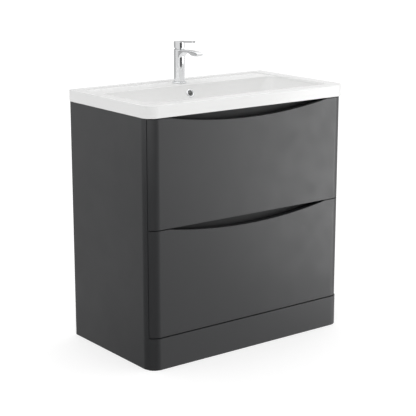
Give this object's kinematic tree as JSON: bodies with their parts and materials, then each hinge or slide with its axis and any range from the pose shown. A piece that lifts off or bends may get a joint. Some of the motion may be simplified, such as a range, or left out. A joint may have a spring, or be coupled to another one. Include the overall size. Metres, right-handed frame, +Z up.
{
  "type": "bathroom vanity cabinet",
  "caption": "Floor-standing bathroom vanity with handleless drawers, arched finger pulls, rounded front corners, inset basin and single-lever mixer tap.",
  "frame": {"origin": "on the floor, under the middle of the plan outline of the basin", "axes": "+X to the right seen from the front, -Y out of the drawer fronts, +Y towards the wall, +Z up"},
  "size_m": [0.809, 0.4564, 0.9889],
  "materials": {
    "cabinet_paint": "satin anthracite lacquer on MDF",
    "rail_paint": "satin anthracite powder coat",
    "carcass_board": "melamine-faced board, matt",
    "drawer_board": "melamine-faced board, matt pale grey",
    "basin_glaze": "gloss white glaze",
    "chrome": "polished",
    "steel": "zinc-plated, satin",
    "white_plastic": "smooth",
    "clear_plastic": "soft clear bumper",
    "seal_rubber": "matt"
  },
  "bodies": {
    "carcass": {"base_panel": "carcass_board", "plinth_panel": "cabinet_paint", "top_finger_rail": "rail_paint", "middle_finger_rail": "rail_paint", "back_top_rail": "carcass_board", "back_bottom_rail": "carcass_board", "side_panel_left": "cabinet_paint", "wall_bracket_left": "steel", "plinth_bracket_left": "steel", "side_panel_right": "cabinet_paint", "wall_bracket_right": "steel", "plinth_bracket_right": "steel", "basin": "basin_glaze", "overflow_ring": "chrome", "waste_body": "chrome", "waste_plug_guide": "white_plastic", "waste_seal": "seal_rubber", "waste_nut": "steel", "tap_base_ring": "chrome", "tap_body": "chrome", "tap_cartridge": "white_plastic", "tap_aerator": "white_plastic", "tap_fixing_stud": "steel", "tap_fixing_washer": "steel", "tap_fixing_nut": "steel", "top_drawer_runner_fixed_left": "steel", "top_drawer_runner_fixed_right": "steel", "bottom_drawer_runner_fixed_left": "steel", "bottom_drawer_runner_fixed_right": "steel"},
    "top_drawer": {"top_drawer_front": "cabinet_paint", "top_drawer_bottom": "drawer_board", "top_drawer_notch_front": "drawer_board", "top_drawer_side_left": "drawer_board", "top_drawer_bumper_left": "clear_plastic", "top_drawer_notch_left": "drawer_board", "top_drawer_back_left": "drawer_board", "top_drawer_runner_moving_left": "steel", "top_drawer_side_right": "drawer_board", "top_drawer_bumper_right": "clear_plastic", "top_drawer_notch_right": "drawer_board", "top_drawer_back_right": "drawer_board", "top_drawer_runner_moving_right": "steel"},
    "bottom_drawer": {"bottom_drawer_front": "cabinet_paint", "bottom_drawer_bottom": "drawer_board", "bottom_drawer_back": "drawer_board", "bottom_drawer_side_left": "drawer_board", "bottom_drawer_bumper_left": "clear_plastic", "bottom_drawer_runner_moving_left": "steel", "bottom_drawer_side_right": "drawer_board", "bottom_drawer_bumper_right": "clear_plastic", "bottom_drawer_runner_moving_right": "steel"},
    "waste_plug": {"waste_plug": "chrome"},
    "tap_swivel": {"tap_turntable": "chrome"},
    "tap_lever": {"tap_lever": "chrome"},
    "top_runner_middle_left": {"top_drawer_runner_middle_left": "steel"},
    "top_runner_middle_right": {"top_drawer_runner_middle_right": "steel"},
    "bottom_runner_middle_left": {"bottom_drawer_runner_middle_left": "steel"},
    "bottom_runner_middle_right": {"bottom_drawer_runner_middle_right": "steel"}
  },
  "joints": [
    {"name": "top_drawer_slide", "type": "slide", "parent": "carcass", "child": "top_drawer", "axis": [0, -1, 0], "range_m": [0, 0.35]},
    {"name": "bottom_drawer_slide", "type": "slide", "parent": "carcass", "child": "bottom_drawer", "axis": [0, -1, 0], "range_m": [0, 0.35]},
    {"name": "top_runner_middle_left_slide", "type": "slide", "parent": "carcass", "child": "top_runner_middle_left", "axis": [0, -1, 0], "range_m": [0, 0.175]},
    {"name": "top_runner_middle_right_slide", "type": "slide", "parent": "carcass", "child": "top_runner_middle_right", "axis": [0, -1, 0], "range_m": [0, 0.175]},
    {"name": "bottom_runner_middle_left_slide", "type": "slide", "parent": "carcass", "child": "bottom_runner_middle_left", "axis": [0, -1, 0], "range_m": [0, 0.175]},
    {"name": "bottom_runner_middle_right_slide", "type": "slide", "parent": "carcass", "child": "bottom_runner_middle_right", "axis": [0, -1, 0], "range_m": [0, 0.175]},
    {"name": "waste_plug_lift", "type": "slide", "parent": "carcass", "child": "waste_plug", "axis": [0, 0, 1], "range_m": [0, 0.008]},
    {"name": "tap_swivel", "type": "hinge", "parent": "carcass", "child": "tap_swivel", "pos_m": [0, 0.17025, 0.9573], "axis": [0, 0, 1], "range_deg": [-45, 45]},
    {"name": "tap_lever_lift", "type": "hinge", "parent": "tap_swivel", "child": "tap_lever", "pos_m": [0, 0.17025, 0.959], "axis": [-1, 0, 0], "range_deg": [0, 20]}
  ],
  "couplings": [
    {"joint": "top_runner_middle_left_slide", "follows": "top_drawer_slide", "ratio": 0.5},
    {"joint": "top_runner_middle_right_slide", "follows": "top_drawer_slide", "ratio": 0.5},
    {"joint": "bottom_runner_middle_left_slide", "follows": "bottom_drawer_slide", "ratio": 0.5},
    {"joint": "bottom_runner_middle_right_slide", "follows": "bottom_drawer_slide", "ratio": 0.5}
  ]
}
